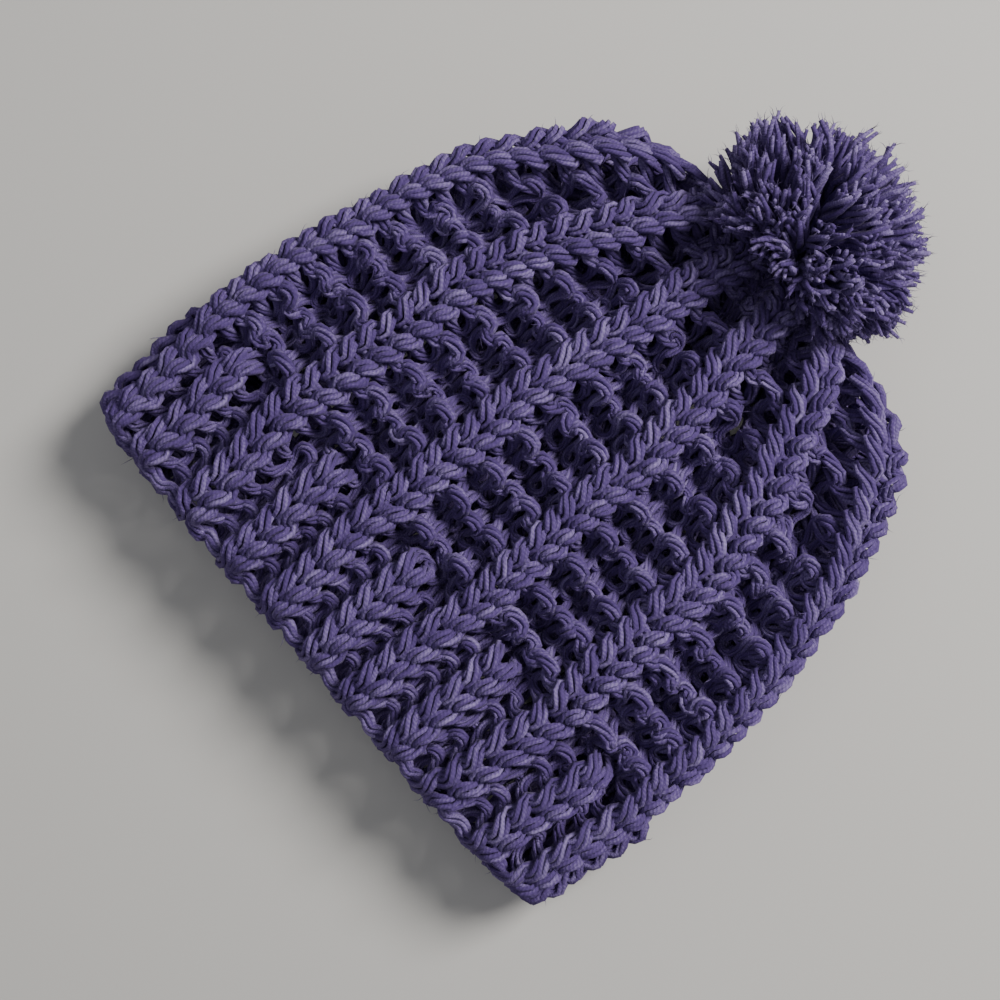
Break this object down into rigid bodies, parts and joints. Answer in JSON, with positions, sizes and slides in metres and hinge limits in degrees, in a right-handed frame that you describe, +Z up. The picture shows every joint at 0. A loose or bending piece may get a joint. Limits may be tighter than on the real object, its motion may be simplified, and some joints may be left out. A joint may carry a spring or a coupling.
{
  "type": "knitted bobble hat",
  "caption": "Chunky hand-knitted bobble hat with a ribbed brim, a ridged body and a gathered crown that carries a pompom, lying flat.",
  "frame": {"origin": "under the middle rib of the brim, halfway up the brim, on the surface that the hat lies on", "axes": "+Z up from the surface, +Y from the open mouth to the crown, +X to the right seen from above"},
  "size_m": [0.2414, 0.2758, 0.0798],
  "materials": {
    "shell_yarn": "matt three-ply yarn, heathered violet",
    "pompom_yarn": "matt cut yarn, heathered violet",
    "tie_yarn": "matt yarn"
  },
  "bodies": {
    "root": {"knit_shell": "shell_yarn", "pompom": "pompom_yarn", "pompom_tie": "tie_yarn"}
  },
  "joints": []
}
